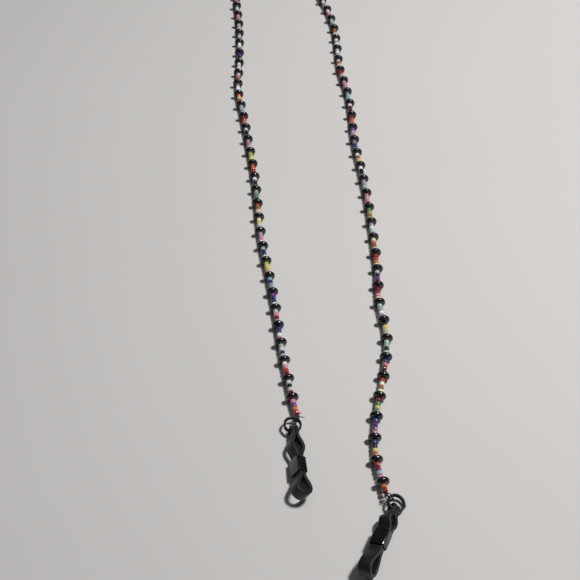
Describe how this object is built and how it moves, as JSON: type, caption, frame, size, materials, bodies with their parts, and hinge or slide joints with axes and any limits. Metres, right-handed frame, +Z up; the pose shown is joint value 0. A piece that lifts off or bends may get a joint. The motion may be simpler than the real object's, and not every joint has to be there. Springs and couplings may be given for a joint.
{
  "type": "eyeglass retainer strap",
  "caption": "Beaded eyeglass strap: glass beads on one thread, a split ring at each end, and on each a folded rubber loop with a sliding sleeve for a temple arm.",
  "frame": {"origin": "middle of the laid-out strap's bounding box, on the surface it lies on", "axes": "+Z up from the surface, +Y from the temple grips towards the neck bend, +X from the left strand to the right strand"},
  "size_m": [0.0674, 0.3414, 0.0084],
  "materials": {
    "thread": "twisted thread",
    "glass_black": "polished",
    "glass_white": "polished",
    "glass_cream": "polished",
    "glass_yellow": "polished",
    "glass_lime": "polished",
    "glass_mint": "polished",
    "glass_green": "polished",
    "glass_sky": "polished",
    "glass_navy": "polished",
    "glass_purple": "polished",
    "glass_mauve": "polished",
    "glass_pink": "polished",
    "glass_red": "polished",
    "glass_garnet": "polished",
    "glass_orange": "polished",
    "glass_amber": "polished",
    "glass_grey": "polished",
    "black_wire": "black plated",
    "rubber": "satin",
    "sleeve_black": "gloss"
  },
  "bodies": {
    "strand": {"stringing_thread": "thread", "thread_end_left": "thread", "thread_end_right": "thread", "disc_beads_left": "glass_black", "disc_beads_neck": "glass_black", "disc_beads_right": "glass_black", "seed_beads_white": "glass_white", "seed_beads_cream": "glass_cream", "seed_beads_yellow": "glass_yellow", "seed_beads_lime": "glass_lime", "seed_beads_mint": "glass_mint", "seed_beads_green": "glass_green", "seed_beads_sky": "glass_sky", "seed_beads_navy": "glass_navy", "seed_beads_purple": "glass_purple", "seed_beads_mauve": "glass_mauve", "seed_beads_pink": "glass_pink", "seed_beads_red": "glass_red", "seed_beads_garnet": "glass_garnet", "seed_beads_orange": "glass_orange", "seed_beads_amber": "glass_amber", "seed_beads_black": "glass_black", "seed_beads_grey": "glass_grey"},
    "ring_left": {"split_ring_left": "black_wire"},
    "grip_left": {"rubber_loop_left": "rubber"},
    "sleeve_left": {"slide_sleeve_left": "sleeve_black"},
    "ring_right": {"split_ring_right": "black_wire"},
    "grip_right": {"rubber_loop_right": "rubber"},
    "sleeve_right": {"slide_sleeve_right": "sleeve_black"}
  },
  "joints": [
    {"name": "ring_turn_left", "type": "hinge", "parent": "strand", "child": "ring_left", "pos_m": [-0.00309, -0.11543, 0.00235], "axis": [0.0946, 0.0928, 0.9912], "range_deg": [-40, 40]},
    {"name": "grip_swing_left", "type": "hinge", "parent": "ring_left", "child": "grip_left", "pos_m": [-0.0028, -0.118, 0.00256], "axis": [-0.9891, -0.1041, 0.1042], "range_deg": [0, 110]},
    {"name": "sleeve_slide_left", "type": "slide", "parent": "grip_left", "child": "sleeve_left", "axis": [0.1128, -0.9902, 0.0819], "range_m": [-0.001, 0.0012]},
    {"name": "ring_turn_right", "type": "hinge", "parent": "strand", "child": "ring_right", "pos_m": [0.02996, -0.14423, 0.00258], "axis": [0.2412, -0.015, 0.9704], "range_deg": [-26, 40]},
    {"name": "grip_swing_right", "type": "hinge", "parent": "ring_right", "child": "grip_right", "pos_m": [0.02887, -0.14658, 0.00282], "axis": [-0.8745, 0.4303, 0.224], "range_deg": [0, 110]},
    {"name": "sleeve_slide_right", "type": "slide", "parent": "grip_right", "child": "sleeve_right", "axis": [-0.4209, -0.9026, 0.0906], "range_m": [-0.001, 0.0012]}
  ]
}
